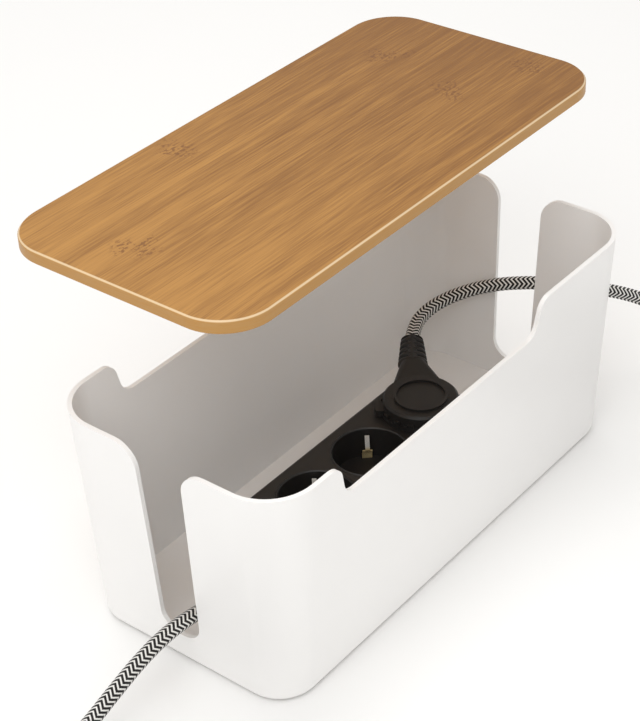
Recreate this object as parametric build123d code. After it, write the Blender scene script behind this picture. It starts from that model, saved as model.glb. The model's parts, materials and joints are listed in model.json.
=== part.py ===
"""Cable box: an open tub with a bamboo lid, a three-way power strip inside it, and two braided leads.

Units are millimetres, +Z is up. The origin is on the surface that the tub stands on, under the middle
of the tub. +X runs along the tub, from the end where the strip's own lead leaves to the end where the
plugged-in lead leaves. -Y is the front.
"""
from build123d import *
import math
import os

# Tub: sizes over the rim, with walls that lean in towards the floor.
TUB_LENGTH = 300.0
TUB_WIDTH = 141.0
TUB_TOP = 127.0
TUB_BOTTOM = 1.0
TUB_WALL = 2.4
TUB_FLOOR = 3.0
TUB_CORNER = 27.0
TUB_BOTTOM_ROUND = 3.0
LEAN = 6.9

# Openings in the rim of the tub.
SLOT_HALF_TOP = 14.0
SLOT_HALF_BOTTOM = 12.0
SLOT_BOTTOM = 17.0
SLOT_FOOT_ROUND = 11.0
SLOT_SHOULDER_ROUND = 13.0
RECESS_DEPTH = 20.0
RECESS_LEFT = -105.0
RECESS_RIGHT = 60.0
RECESS_SLOPE = 4.5
RECESS_ROUND = 8.5

FOOT_RADIUS = 7.0
FOOT_HEIGHT = 2.0
FOOT_INSET = 20.0

# Lid: it is held up and off to one side of the tub at rest, and slides down onto the rim.
LID_OVERHANG = 2.5
LID_THICK = 7.0
LID_CORNER = 27.0
LID_EDGE_BREAK = 1.0
LID_RAISE = (24.5, 41.0, 60.5)
PAD_RADIUS = 5.0
PAD_THICK = 2.0
PAD_CLEARANCE = 2.4

# Power strip.
FLOOR_TOP = TUB_BOTTOM + TUB_FLOOR
STRIP_LEFT = -88.0
STRIP_RIGHT = 65.0
STRIP_WIDTH = 55.0
STRIP_TOP = 44.0
STRIP_MIDDLE_Y = -8.2
STRIP_CORNER = 8.0
STRIP_WALL = 1.6
STRIP_BASE_TOP = 6.0
STRIP_TOP_ROUND = 2.5
SOCKET_XS = (-48.0, -3.0, 42.0)
SOCKET_TURN = 43.0
BOSS_PLACES = ((-82.0, 19.5), (-25.5, 20.5), (19.5, 20.5), (59.0, 20.0))
BOSS_RADIUS = 3.4
SCREW_RADIUS = 1.45

# Socket insert.
INSERT_RADIUS = 21.1
INSERT_TOP = STRIP_TOP + 0.5
INSERT_FLOOR_TOP = 26.5
INSERT_BOTTOM = 24.0
INSERT_FLANGE_RADIUS = 22.3
INSERT_FLANGE_HEIGHT = 2.0
INSERT_FLAT = 21.2
WELL_RADIUS = 19.8
PIN_RADIUS = 2.4
PIN_SPREAD = 9.5
PIN_HOLE_RADIUS = 2.8
CLIP_REACH = 18.6
CLIP_THICK = 0.8
CLIP_WIDTH = 5.4
CLIP_TONGUE_WIDTH = 2.4
CLIP_SHOULDER_Z = 32.6
CLIP_BASE_Z = 20.4

# Contact bars.
BAR_THICK = 0.8
BAR_WIDTH = 6.0
BAR_LEFT = -74.0
BAR_RIGHT = 54.0
BAR_BOTTOM = 6.4
SLEEVE_OUTER = 3.3
SLEEVE_INNER = 2.45
SLEEVE_TOP = 22.5
EARTH_BAR_WIDTH = 5.0
EARTH_BAR_RIGHT = 48.0

# Angled plug, in its own frame: z = 0 is the underside of its flange, +X is the lead's way out.
PLUG_SEAT = STRIP_TOP + 0.6
PLUG_NOSE_RADIUS = 18.6
PLUG_NOSE_DEPTH = 17.2
PLUG_FLANGE_RADIUS = 21.7
PLUG_FLANGE_HEIGHT = 4.0
PLUG_TOP_RADIUS = 20.3
PLUG_TOP_HEIGHT = 8.6
PLUG_RING_OUTER = 14.5
PLUG_RING_INNER = 13.0
PLUG_HEIGHT = 9.8
PLUG_NOTCHES = 14
PLUG_EAR_REACH = 25.0
PLUG_EAR_WIDTH = 9.0
PLUG_AXIS = 4.9
NECK_START = 16.6
NECK_ROOT_Z = 4.3
NECK_END = 34.0
EARTH_NOTCH_DEPTH = 14.4
EARTH_NOTCH_WIDTH = 8.0
BRIDGE_RADIUS = 12.0
BRIDGE_BOTTOM = -14.0
BRIDGE_TOP = -4.0
PIN_LENGTH = 19.0
PIN_TOP = -6.0
FIT_GAP = 0.05

# Braided leads.
CORD_RADIUS = 3.75
RELIEF_ROOT_RADIUS = 4.8
RELIEF_TIP_RADIUS = 4.3
RELIEF_ROOT_REACH = 7.0
RELIEF_TIP_REACH = 5.2
RELIEF_LENGTH = 24.0
RELIEF_TURN = -12.0
GLAND_AXIS_Z = 28.5
GLAND_Y = -8.0
GLAND_TIP = -112.0
GLAND_ROOT_RADIUS = 6.6
GLAND_FLANGE_RADIUS = 7.6
GLAND_HOLE_RADIUS = 5.5
TAIL_END = -76.5
CLAMP_X = -80.0
CLAMP_SPREAD = 7.5

# Coils of the length that is put away: a flat ring with a straight stub where the lead joins it.
COIL_LIFT = 1.15
COIL_LAYERS = 2
COIL_OUTER_TURN = 48.75
COIL_INNER_TURN = 33.25
COIL_STUB = 31.0
COIL_LOW = COIL_LIFT + CORD_RADIUS
COIL_HIGH = COIL_LOW + 2 * CORD_RADIUS
TIE_WIDTH = 12.0
TIE_THICK = 1.0
TIE_SLACK = 0.9
COIL_SKIN = 0.15

SUPPLY_COIL = (-238.0, -84.0)
SUPPLY_EXIT_ANGLE = 195.0
SUPPLY_ROUTE = [
    (-112.0, -8.0, 28.5),
    (-124.0, -8.0, 28.5),
    (-142.0, -6.4, 31.8),
    (-160.0, -5.2, 32.0),
    (-178.0, -4.6, 28.4),
    (-196.0, -4.4, 22.4),
    (-214.5, -4.2, 15.6),
    (-233.0, -4.5, COIL_HIGH),
    (-251.5, -4.9, COIL_HIGH),
    (-267.7, -11.6, COIL_HIGH),
    (-280.1, -24.0, COIL_HIGH),
    (-286.75, -40.2, COIL_HIGH),
    (-286.75, -56.0, COIL_HIGH),
]

PLUG_COIL = (167.0, -148.3)
PLUG_COIL_EXIT_ANGLE = -97.0
PLUG_ROUTE = [
    (86.7, 29.8, 49.6),
    (96.2, 35.5, 50.8),
    (108.0, 36.9, 53.6),
    (119.2, 32.6, 57.4),
    (129.8, 23.4, 61.8),
    (140.2, 10.8, 65.4),
    (149.4, -4.2, 67.4),
    (158.5, -18.6, 67.0),
    (169.0, -31.6, 64.0),
    (182.0, -42.4, 58.6),
    (194.0, -52.4, 51.6),
    (203.4, -62.6, 43.4),
    (209.4, -74.0, 34.4),
    (213.0, -86.0, 25.4),
    (214.9, -97.8, 17.6),
    (215.75, -109.2, 13.7),
    (215.75, -120.3, COIL_HIGH),
]

# Appliance connector on the far end of the plugged-in lead.
CONNECTOR_LENGTH = 32.0
CONNECTOR_WIDTH = 22.0
CONNECTOR_HEIGHT = 16.0
CONNECTOR_BEVEL = 5.0
CONNECTOR_RELIEF_LENGTH = 25.0
CONNECTOR_SLOT_DEPTH = 17.0
CONNECTOR_PITCH = 7.0


def tapered_block(bottom, top, inset):
    """The tub's outer shape between two heights, drawn in on all sides by inset; it widens upwards."""
    slope = LEAN / (TUB_TOP - TUB_BOTTOM)
    inwards = (TUB_TOP - bottom) * slope + inset
    outline = RectangleRounded(
        TUB_LENGTH - 2 * inwards, TUB_WIDTH - 2 * inwards, TUB_CORNER - inwards
    )
    return extrude(Plane.XY.offset(bottom) * outline, top - bottom, taper=-math.degrees(math.atan(slope)))


def rim_opening(top_left, top_right, foot_left, foot_right, foot_z, top_round, foot_round):
    """The flat outline of an opening that is cut down into the rim, with rounded shoulders and feet."""
    flare = 30.0
    above = TUB_TOP + 20.0
    points = [
        (top_left - flare, above),
        (top_left - flare, TUB_TOP),
        (top_left, TUB_TOP),
        (foot_left, foot_z),
        (foot_right, foot_z),
        (top_right, TUB_TOP),
        (top_right + flare, TUB_TOP),
        (top_right + flare, above),
    ]
    face = make_face(Polyline(*points, close=True))
    feet = [v for v in face.vertices() if abs(v.Y - foot_z) < 0.01]
    face = fillet(feet, foot_round)
    shoulders = [
        v
        for v in face.vertices()
        if abs(v.Y - TUB_TOP) < 0.01 and top_left - 1 < v.X < top_right + 1
    ]
    return fillet(shoulders, top_round)


def make_tub():
    """The tub: leaning walls, a cord slot in each end and a shallow finger recess in each long side."""
    outer = tapered_block(TUB_BOTTOM, TUB_TOP, 0.0)
    outer = fillet(outer.faces().sort_by(Axis.Z)[0].edges(), TUB_BOTTOM_ROUND)
    tub = outer - tapered_block(FLOOR_TOP, TUB_TOP + 1.0, TUB_WALL)
    slot = rim_opening(
        -SLOT_HALF_TOP,
        SLOT_HALF_TOP,
        -SLOT_HALF_BOTTOM,
        SLOT_HALF_BOTTOM,
        SLOT_BOTTOM,
        SLOT_SHOULDER_ROUND,
        SLOT_FOOT_ROUND,
    )
    recess = rim_opening(
        RECESS_LEFT,
        RECESS_RIGHT,
        RECESS_LEFT + RECESS_SLOPE,
        RECESS_RIGHT - RECESS_SLOPE,
        TUB_TOP - RECESS_DEPTH,
        RECESS_ROUND,
        RECESS_ROUND,
    )
    tub -= extrude(Plane.YZ * slot, TUB_LENGTH, both=True)
    tub -= extrude(Plane.XZ * recess, TUB_WIDTH, both=True)
    for x, y in foot_places():
        tub -= Pos(x, y, TUB_BOTTOM) * Cylinder(FOOT_RADIUS + FIT_GAP, 2 * (FOOT_HEIGHT - TUB_BOTTOM))
    return tub


def foot_places():
    """The middles of the four feet."""
    x = TUB_LENGTH / 2 - LEAN - FOOT_INSET
    y = TUB_WIDTH / 2 - LEAN - FOOT_INSET
    return [(i * x, j * y) for i in (-1, 1) for j in (-1, 1)]


def make_feet():
    """Four thin rubber feet, pressed into shallow pockets under the tub."""
    foot = Cylinder(FOOT_RADIUS, FOOT_HEIGHT)
    foot = chamfer(foot.edges().sort_by(Axis.Z)[0], 0.4)
    return [Pos(x, y, FOOT_HEIGHT / 2) * foot for x, y in foot_places()]


def make_lid():
    """The bamboo lid, with broken edges."""
    outline = RectangleRounded(
        TUB_LENGTH + 2 * LID_OVERHANG, TUB_WIDTH + 2 * LID_OVERHANG, LID_CORNER
    )
    board = extrude(outline, LID_THICK)
    board = chamfer(board.faces().sort_by(Axis.Z)[-1].edges(), LID_EDGE_BREAK)
    board = chamfer(board.faces().sort_by(Axis.Z)[0].edges(), LID_EDGE_BREAK / 2)
    return Pos(LID_RAISE[0], LID_RAISE[1], TUB_TOP + LID_RAISE[2]) * board


def make_lid_pads():
    """Four soft pads under the lid that sit just inside the tub's corners and stop it sliding."""
    reach = TUB_CORNER - TUB_WALL - PAD_CLEARANCE - PAD_RADIUS
    x = TUB_LENGTH / 2 - TUB_CORNER + reach * math.sqrt(0.5)
    y = TUB_WIDTH / 2 - TUB_CORNER + reach * math.sqrt(0.5)
    pad = Cylinder(PAD_RADIUS, PAD_THICK)
    pad = chamfer(pad.edges().sort_by(Axis.Z)[0], 0.5)
    z = TUB_TOP + LID_RAISE[2] - PAD_THICK / 2
    return [
        Pos(LID_RAISE[0] + i * x, LID_RAISE[1] + j * y, z) * pad for i in (-1, 1) for j in (-1, 1)
    ]


def strip_block(inset, bottom, top):
    """A rounded block as long and wide as the strip, drawn in on all sides by inset."""
    outline = RectangleRounded(
        STRIP_RIGHT - STRIP_LEFT - 2 * inset, STRIP_WIDTH - 2 * inset, STRIP_CORNER - inset
    )
    middle = Pos((STRIP_LEFT + STRIP_RIGHT) / 2, STRIP_MIDDLE_Y, bottom)
    return middle * extrude(outline, top - bottom)


def screw_places():
    """The strip's screws: a pair, one each side of the middle line, at each place along it."""
    return [(x, STRIP_MIDDLE_Y + side * y) for x, y in BOSS_PLACES for side in (-1, 1)]


def make_strip_cover():
    """The strip's upper housing: open below, with a hole for each insert, one for the gland, and bosses."""
    shell = strip_block(0.0, STRIP_BASE_TOP, STRIP_TOP)
    shell = fillet(shell.faces().sort_by(Axis.Z)[-1].edges(), STRIP_TOP_ROUND)
    shell -= strip_block(STRIP_WALL, STRIP_BASE_TOP - 1.0, STRIP_TOP - 2.5)
    for x, y in screw_places():
        boss_height = STRIP_TOP - 2.0 - STRIP_BASE_TOP
        shell += Pos(x, y, STRIP_BASE_TOP + boss_height / 2) * Cylinder(BOSS_RADIUS, boss_height)
    for x, y in screw_places():
        shell -= Pos(x, y, STRIP_BASE_TOP) * Cylinder(SCREW_RADIUS + FIT_GAP, 24.0)
    for x in SOCKET_XS:
        shell -= Pos(x, STRIP_MIDDLE_Y, STRIP_TOP) * Cylinder(INSERT_RADIUS + FIT_GAP, 10.0)
    gland_hole = Rot(0, 90, 0) * Cylinder(GLAND_HOLE_RADIUS, 10.0)
    return shell - Pos(STRIP_LEFT, GLAND_Y, GLAND_AXIS_Z) * gland_hole


def make_strip_base():
    """The strip's floor plate, with the cord saddle and the posts for the clamp's screws."""
    plate = strip_block(0.0, FLOOR_TOP, STRIP_BASE_TOP)
    saddle_top = GLAND_AXIS_Z - 0.4
    height = saddle_top - STRIP_BASE_TOP
    saddle = Box(5.0, 2 * CLAMP_SPREAD, height)
    plate += Pos(CLAMP_X, GLAND_Y, STRIP_BASE_TOP + height / 2) * saddle
    for side in (-1, 1):
        y = GLAND_Y + side * CLAMP_SPREAD
        plate += Pos(CLAMP_X, y, STRIP_BASE_TOP + height / 2) * Cylinder(2.9, height)
        plate -= Pos(CLAMP_X, y, saddle_top) * Cylinder(1.25, 16.0)
    groove = Pos(CLAMP_X, GLAND_Y, GLAND_AXIS_Z) * Rot(0, 90, 0) * Cylinder(CORD_RADIUS + FIT_GAP, 12.0)
    plate -= groove
    for x, y in screw_places():
        plate -= Pos(x, y, FLOOR_TOP) * Cylinder(2.9, 2.4)
        plate -= Pos(x, y, FLOOR_TOP) * Cylinder(SCREW_RADIUS + FIT_GAP, 10.0)
    return plate


def make_strip_screws():
    """The screws that hold the strip's floor plate to its cover, driven from below."""
    head = Cylinder(2.7, 1.0) + Pos(0, 0, 6.3) * Cylinder(SCREW_RADIUS, 11.6)
    head -= Pos(0, 0, -0.5) * Box(3.4, 0.7, 0.9)
    head -= Pos(0, 0, -0.5) * Box(0.7, 3.4, 0.9)
    return [Pos(x, y, FLOOR_TOP + 0.65) * head for x, y in screw_places()]


def make_insert(x):
    """One socket's cup, with a lip, two pin holes and two slots for the earth clip."""
    height = INSERT_TOP - INSERT_BOTTOM
    cup = Pos(0, 0, INSERT_BOTTOM + height / 2) * Cylinder(INSERT_RADIUS, height)
    flange_z = STRIP_TOP - 2.5 - INSERT_FLANGE_HEIGHT / 2
    cup += Pos(0, 0, flange_z) * Cylinder(INSERT_FLANGE_RADIUS, INSERT_FLANGE_HEIGHT)
    depth = INSERT_TOP - INSERT_FLOOR_TOP
    cup -= Pos(0, 0, INSERT_FLOOR_TOP + depth / 2) * Cylinder(WELL_RADIUS, depth)
    cup = chamfer(cup.faces().sort_by(Axis.Z)[-1].edges(), 0.6)
    for side in (-1, 1):
        cup -= Pos(0, side * PIN_SPREAD, INSERT_BOTTOM) * Cylinder(PIN_HOLE_RADIUS, 8.0)
        cup -= Pos(side * CLIP_REACH, 0, INSERT_BOTTOM) * Box(2.0, CLIP_WIDTH + 1.0, 8.0)
    cup = Rot(0, 0, SOCKET_TURN) * cup
    return Pos(x, STRIP_MIDDLE_Y, 0) * (cup & Box(2 * INSERT_FLAT, 60.0, 200.0))


def make_earth_clip(x):
    """One socket's sprung earth clip: a strip bent up at both ends, with a bow towards the middle."""
    half = [(CLIP_REACH, CLIP_BASE_Z), (CLIP_REACH, 28.4), (15.6, 33.4), (17.9, 41.0)]
    line = Polyline(*[(-a, b) for a, b in reversed(half)], *half)
    clip = extrude(Plane.XZ * trace(line, CLIP_THICK), CLIP_WIDTH / 2, both=True)
    cut = (CLIP_WIDTH - CLIP_TONGUE_WIDTH) / 2
    for side in (-1, 1):
        y = side * (CLIP_WIDTH - cut) / 2
        clip -= Pos(0, y, CLIP_SHOULDER_Z + 10.0) * Box(2 * CLIP_REACH + 4.0, cut, 20.0)
    return Pos(x, STRIP_MIDDLE_Y, 0) * Rot(0, 0, SOCKET_TURN) * clip


def pin_offset(side):
    """How far a pin stands from its socket's middle along X and Y."""
    turn = math.radians(SOCKET_TURN + 90.0)
    return side * PIN_SPREAD * math.cos(turn), side * PIN_SPREAD * math.sin(turn)


def make_contact_bar(side):
    """The bar under one row of pins, with a sleeve for each pin."""
    dx, dy = pin_offset(side)
    y = STRIP_MIDDLE_Y + dy
    middle = (BAR_LEFT + BAR_RIGHT) / 2
    bar = Pos(middle, y, BAR_BOTTOM + BAR_THICK / 2) * Box(BAR_RIGHT - BAR_LEFT, BAR_WIDTH, BAR_THICK)
    height = SLEEVE_TOP - BAR_BOTTOM - BAR_THICK
    for x in SOCKET_XS:
        sleeve = Cylinder(SLEEVE_OUTER, height) - Cylinder(SLEEVE_INNER, height)
        bar += Pos(x + dx, y, BAR_BOTTOM + BAR_THICK + height / 2) * sleeve
    return bar


def make_earth_bar():
    """The bar that the three earth clips are fixed to."""
    top = CLIP_BASE_Z - CLIP_THICK / 2
    length = EARTH_BAR_RIGHT - BAR_LEFT
    bar = Box(length, EARTH_BAR_WIDTH, BAR_THICK)
    return Pos((BAR_LEFT + EARTH_BAR_RIGHT) / 2, STRIP_MIDDLE_Y, top - BAR_THICK / 2) * bar


def make_wire(start, middle, end):
    """One insulated wire from the end of the lead's sheath down to a bar."""
    path = FilletPolyline(start, middle, end, radius=4.0)
    return sweep(Plane(path @ 0, z_dir=path % 0) * Circle(1.1), path)


def make_wires():
    """The live, neutral and earth wires, by name."""
    wires = {}
    for name, side in (("live_wire", 1), ("neutral_wire", -1)):
        y = STRIP_MIDDLE_Y + pin_offset(side)[1]
        start = (TAIL_END + 0.9, GLAND_Y + side * 2.2, GLAND_AXIS_Z - 1.0)
        wires[name] = make_wire(start, (BAR_LEFT + 2.2, y, 24.0), (BAR_LEFT + 2.2, y, BAR_BOTTOM + BAR_THICK))
    start = (TAIL_END + 0.9, GLAND_Y, GLAND_AXIS_Z + 1.8)
    knee = (BAR_LEFT + 2.2, STRIP_MIDDLE_Y, GLAND_AXIS_Z)
    foot = (BAR_LEFT + 2.2, STRIP_MIDDLE_Y, CLIP_BASE_Z - CLIP_THICK / 2)
    wires["earth_wire"] = make_wire(start, knee, foot)
    return wires


def make_gland():
    """The rubber sleeve that guides the supply lead out of the strip's end wall."""
    wall_inside = STRIP_LEFT + STRIP_WALL
    profile = [
        (wall_inside + 3.0, CORD_RADIUS + FIT_GAP),
        (wall_inside + 3.0, GLAND_FLANGE_RADIUS),
        (wall_inside + FIT_GAP, GLAND_FLANGE_RADIUS),
        (wall_inside + FIT_GAP, GLAND_HOLE_RADIUS - FIT_GAP),
        (STRIP_LEFT - FIT_GAP, GLAND_HOLE_RADIUS - FIT_GAP),
        (STRIP_LEFT - FIT_GAP, GLAND_ROOT_RADIUS),
        (STRIP_LEFT - 5.0, GLAND_ROOT_RADIUS),
        (GLAND_TIP, RELIEF_TIP_RADIUS),
        (GLAND_TIP, CORD_RADIUS + FIT_GAP),
    ]
    face = make_face(Polyline(*profile, close=True))
    sleeve = revolve(Plane.XZ * face, Axis.X)
    return Pos(0, GLAND_Y, GLAND_AXIS_Z) * sleeve


def make_supply_tail():
    """The stretch of the supply lead inside the gland and the clamp."""
    length = TAIL_END - GLAND_TIP
    tail = Rot(0, 90, 0) * Cylinder(CORD_RADIUS, length)
    return Pos((TAIL_END + GLAND_TIP) / 2, GLAND_Y, GLAND_AXIS_Z) * tail


def make_clamp():
    """The bar that holds the supply lead down in its saddle."""
    height = 6.5
    bottom = GLAND_AXIS_Z - 0.3
    bar = Pos(CLAMP_X, GLAND_Y, bottom + height / 2) * Box(5.0, 2 * CLAMP_SPREAD + 6.0, height)
    bar -= Pos(CLAMP_X, GLAND_Y, GLAND_AXIS_Z) * Rot(0, 90, 0) * Cylinder(CORD_RADIUS + FIT_GAP, 12.0)
    for side in (-1, 1):
        bar -= Pos(CLAMP_X, GLAND_Y + side * CLAMP_SPREAD, bottom + height / 2) * Cylinder(1.3, 20.0)
    return bar


def make_clamp_screws():
    """The clamp's two screws."""
    top = GLAND_AXIS_Z - 0.3 + 6.5
    shank = Pos(0, 0, top - 6.0) * Cylinder(1.2, 12.0)
    screw = shank + Pos(0, 0, top + 0.7) * Cylinder(2.3, 1.4)
    screw -= Pos(0, 0, top + 1.4) * Box(3.2, 0.7, 1.0)
    return [Pos(CLAMP_X, GLAND_Y + side * CLAMP_SPREAD, 0) * screw for side in (-1, 1)]


def cut_notches(body):
    """Cut the ring of grip notches into the upper edge of the plug's flange."""
    for k in range(PLUG_NOTCHES):
        turn = Rot(0, 0, 35.0 + k * 290.0 / (PLUG_NOTCHES - 1))
        body -= turn * Pos(PLUG_FLANGE_RADIUS, 0, PLUG_FLANGE_HEIGHT) * Box(4.0, 5.0, 3.6)
    return body


def plug_body():
    """The plug's moulded body: nose, flange with grip notches and ears, raised ring and neck."""
    nose = Pos(0, 0, -PLUG_NOSE_DEPTH / 2) * Cylinder(PLUG_NOSE_RADIUS, PLUG_NOSE_DEPTH)
    nose = chamfer(nose.faces().sort_by(Axis.Z)[0].edges(), 1.0)
    flange = Pos(0, 0, PLUG_FLANGE_HEIGHT / 2) * Cylinder(PLUG_FLANGE_RADIUS, PLUG_FLANGE_HEIGHT)
    flange = cut_notches(flange)
    ears = Pos(0, 0, PLUG_FLANGE_HEIGHT / 2) * Box(
        PLUG_EAR_WIDTH, 2 * PLUG_EAR_REACH, PLUG_FLANGE_HEIGHT
    )
    ears = fillet(ears.edges().filter_by(Axis.Z), 2.5)
    dome = Pos(0, 0, PLUG_TOP_HEIGHT / 2) * Cylinder(PLUG_TOP_RADIUS, PLUG_TOP_HEIGHT)
    dome = chamfer(dome.faces().sort_by(Axis.Z)[-1].edges(), 1.2)
    ring = Pos(0, 0, PLUG_HEIGHT / 2) * Cylinder(PLUG_RING_OUTER, PLUG_HEIGHT)
    ring -= Pos(0, 0, PLUG_HEIGHT) * Cylinder(PLUG_RING_INNER, 2 * (PLUG_HEIGHT - PLUG_TOP_HEIGHT))
    root = Plane((NECK_START, 0, NECK_ROOT_Z), x_dir=(0, 1, 0), z_dir=(1, 0, 0))
    tip = Plane((NECK_END, 0, PLUG_AXIS), x_dir=(0, 1, 0), z_dir=(1, 0, 0))
    neck = loft([root * RectangleRounded(26.0, 7.8, 3.0), tip * RectangleRounded(14.0, 9.4, 4.4)])
    body = nose + flange + ears + dome + ring + neck
    for side in (-1, 1):
        notch_width = PLUG_NOSE_RADIUS + 1.0 - EARTH_NOTCH_DEPTH
        x = side * (EARTH_NOTCH_DEPTH + notch_width / 2)
        notch = Box(notch_width, EARTH_NOTCH_WIDTH, PLUG_NOSE_DEPTH)
        body -= Pos(x, 0, -PLUG_NOSE_DEPTH / 2) * notch
        body -= Pos(0, side * PIN_SPREAD, -PLUG_NOSE_DEPTH) * Cylinder(PIN_RADIUS + FIT_GAP, 12.0)
    height = BRIDGE_TOP - BRIDGE_BOTTOM
    return body - Pos(0, 0, BRIDGE_BOTTOM + height / 2) * Cylinder(BRIDGE_RADIUS + FIT_GAP, height)


def plug_bridge():
    """The hard disc inside the plug that the pins are set in."""
    height = BRIDGE_TOP - BRIDGE_BOTTOM
    disc = Pos(0, 0, BRIDGE_BOTTOM + height / 2) * Cylinder(BRIDGE_RADIUS, height)
    for side in (-1, 1):
        depth = PIN_TOP - BRIDGE_BOTTOM
        hole = Cylinder(PIN_RADIUS + FIT_GAP, depth)
        disc -= Pos(0, side * PIN_SPREAD, BRIDGE_BOTTOM + depth / 2) * hole
    return disc


def plug_pins():
    """The plug's two round pins, as a pair of solids."""
    low = -PLUG_NOSE_DEPTH - PIN_LENGTH
    pin = Pos(0, 0, (low + PIN_TOP) / 2) * Cylinder(PIN_RADIUS, PIN_TOP - low)
    pin = fillet(pin.faces().sort_by(Axis.Z)[0].edges(), 1.4)
    return [Pos(0, side * PIN_SPREAD, 0) * pin for side in (-1, 1)]


def plug_earth_contacts():
    """The metal strips in the notches at the plug's two sides."""
    strip = Box(0.5, 6.0, PLUG_NOSE_DEPTH - 1.4)
    return [Pos(side * (EARTH_NOTCH_DEPTH + 0.25), 0, -PLUG_NOSE_DEPTH / 2) * strip for side in (-1, 1)]


def plug_relief(turn):
    """The plug's strain relief, wider than it is high, as a tapered sleeve bent sideways by turn degrees."""
    steps = 4
    rings = []
    x, y, heading = NECK_END, 0.0, 0.0
    for k in range(steps + 1):
        share = k / steps
        radius = RELIEF_ROOT_RADIUS + share * (RELIEF_TIP_RADIUS - RELIEF_ROOT_RADIUS)
        reach = RELIEF_ROOT_REACH + share * (RELIEF_TIP_REACH - RELIEF_ROOT_REACH)
        along = (math.cos(math.radians(heading)), math.sin(math.radians(heading)), 0)
        across = (-along[1], along[0], 0)
        rings.append(Plane((x, y, PLUG_AXIS), x_dir=across, z_dir=along) * Ellipse(reach, radius))
        middle = math.radians(heading + turn / steps / 2)
        x += RELIEF_LENGTH / steps * math.cos(middle)
        y += RELIEF_LENGTH / steps * math.sin(middle)
        heading += turn / steps
    return loft(rings, ruled=True)


def make_plug(place, turn):
    """A whole plug at a place: its pieces by name."""
    return {
        "body": place * plug_body(),
        "bridge": place * plug_bridge(),
        "pins": [place * pin for pin in plug_pins()],
        "earth_contacts": [place * strip for strip in plug_earth_contacts()],
        "relief": place * plug_relief(turn),
    }


def lead_tube(name, points):
    """A lead's free stretch: straight runs joined by arcs as large as the runs allow."""
    vectors = [Vector(*p) for p in points]
    radii = []
    for before, corner, after in zip(vectors, vectors[1:], vectors[2:]):
        turn = (corner - before).get_angle(after - corner)
        shorter = min((corner - before).length, (after - corner).length)
        radii.append(0.45 * shorter / math.tan(math.radians(turn / 2)))
    path = FilletPolyline(*points, radius=radii)
    tube = sweep(Plane(path @ 0, z_dir=path % 0) * Circle(CORD_RADIUS), path)
    expected = math.pi * CORD_RADIUS**2 * path.length
    print(
        f"{name}: length {path.length:.1f}, volume {tube.volume:.0f} for {expected:.0f},",
        f"radii {min(radii):.1f} at least:",
        [round(r) for r in radii],
    )
    return tube


def lead_coil(middle, stub_start, stub_z, end_angle, end_z, clockwise):
    """A coil's outer shape: a ring, with a straight stub where the lead joins it and where it leaves."""
    x, y = middle
    height = COIL_LAYERS * 2 * CORD_RADIUS
    outer = Cylinder(COIL_OUTER_TURN + CORD_RADIUS + COIL_SKIN, height + 2 * COIL_SKIN)
    ring = outer - Cylinder(COIL_INNER_TURN - CORD_RADIUS, 2 * height)
    coil = Pos(x, y, COIL_LIFT + height / 2) * ring
    coil += stub_between(stub_start, (stub_start[0], y, stub_z))
    start, far = coil_exit(middle, end_angle, end_z, clockwise)
    return coil + stub_between(start, far)


def coil_exit(middle, angle, z, clockwise):
    """The point where a lead leaves its coil at an angle, and the end of its stub."""
    turn = math.radians(angle)
    way = -1 if clockwise else 1
    start = (
        middle[0] + COIL_OUTER_TURN * math.cos(turn),
        middle[1] + COIL_OUTER_TURN * math.sin(turn),
        z,
    )
    far = (
        start[0] - way * COIL_STUB * math.sin(turn),
        start[1] + way * COIL_STUB * math.cos(turn),
        z,
    )
    return start, far


def stub_between(start, end):
    """A straight piece of cord between two points."""
    way = Vector(*end) - Vector(*start)
    return extrude(Plane(start, z_dir=way) * Circle(CORD_RADIUS), way.length)


def coil_tie(middle, angle):
    """The band round one side of a coil."""
    height = COIL_LAYERS * 2 * CORD_RADIUS + 2 * COIL_SKIN
    inner = COIL_INNER_TURN - CORD_RADIUS - TIE_SLACK
    outer = COIL_OUTER_TURN + CORD_RADIUS + TIE_SLACK
    band = Box(outer - inner + 2 * TIE_THICK, TIE_WIDTH, height + 2 * TIE_THICK)
    band -= Box(outer - inner, TIE_WIDTH, height)
    band = Pos((inner + outer) / 2, 0, COIL_LIFT - COIL_SKIN + height / 2) * band
    return Pos(middle[0], middle[1], 0) * Rot(0, 0, angle) * band


def make_supply_place():
    """Where the supply lead's own plug lies: flat on its back, pins up, straight off the coil."""
    start, far = coil_exit(SUPPLY_COIL, SUPPLY_EXIT_ANGLE, COIL_LOW, False)
    way = (Vector(*far) - Vector(*start)).normalized()
    heading = math.degrees(math.atan2(way.Y, way.X))
    tip = NECK_END + RELIEF_LENGTH
    place = Pos(far[0] + tip * way.X, far[1] + tip * way.Y, PLUG_HEIGHT)
    return place * Rot(0, 0, heading + 180.0) * Rot(180, 0, 0)


def make_connector_end():
    """The lead beyond the plug's coil, and where its connector lies."""
    start, far = coil_exit(PLUG_COIL, PLUG_COIL_EXIT_ANGLE, COIL_LOW, True)
    way = (Vector(*far) - Vector(*start)).normalized()
    axis_z = CONNECTOR_HEIGHT / 2
    steps = ((0.0, COIL_LOW), (9.0, COIL_LOW), (24.0, axis_z), (33.0, axis_z))
    points = [(far[0] + along * way.X, far[1] + along * way.Y, z) for along, z in steps]
    heading = math.degrees(math.atan2(way.Y, way.X))
    return points, Pos(*points[-1]) * Rot(0, 0, heading)


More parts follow.
